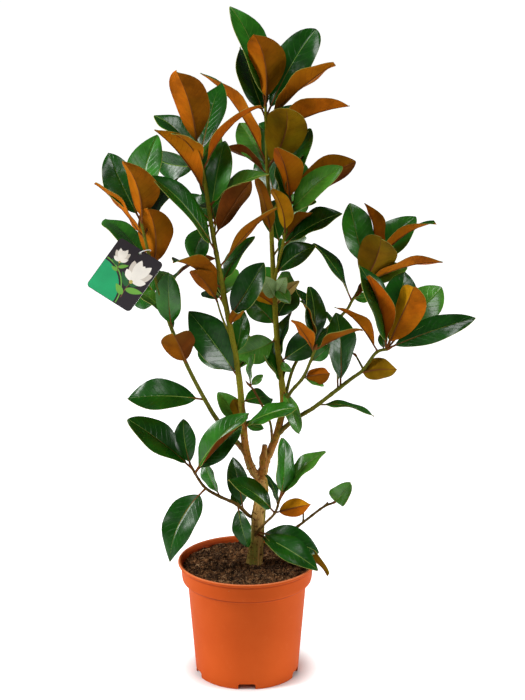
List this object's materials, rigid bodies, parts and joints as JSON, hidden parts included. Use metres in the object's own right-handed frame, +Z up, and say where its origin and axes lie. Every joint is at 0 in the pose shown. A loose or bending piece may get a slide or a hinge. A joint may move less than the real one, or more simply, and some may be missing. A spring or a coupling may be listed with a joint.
{
  "type": "potted magnolia tree",
  "caption": "Young evergreen magnolia with glossy leaves that are felted brown beneath, rooted in peat in a round nursery pot, with a card label hung in its branches.",
  "frame": {"origin": "centre of the pot's flat underside", "axes": "+Z up along the pot's axis, +X to the right as seen from the front, +Y away from the front"},
  "size_m": [0.639, 0.3288, 1.1529],
  "materials": {
    "terracotta": "satin",
    "peat": "matte",
    "bark": "matte",
    "foliage": "glossy",
    "card": "glossy",
    "strap": "glossy"
  },
  "bodies": {
    "root": {"pot": "terracotta", "soil": "peat", "trunk": "bark", "left_leader": "bark", "right_leader": "bark", "pruned_stub": "bark", "left_bough": "bark", "right_low_bough": "bark", "right_mid_bough": "bark", "right_high_bough": "bark", "inner_twig": "bark", "left_leader_foliage": "foliage", "right_leader_foliage": "foliage", "left_bough_foliage": "foliage", "right_low_bough_foliage": "foliage", "right_mid_bough_foliage": "foliage", "right_high_bough_foliage": "foliage", "inner_twig_foliage": "foliage", "low_left_foliage": "foliage", "front_foliage": "foliage", "low_right_foliage": "foliage", "label_card": "card", "label_strap": "strap"}
  },
  "joints": []
}
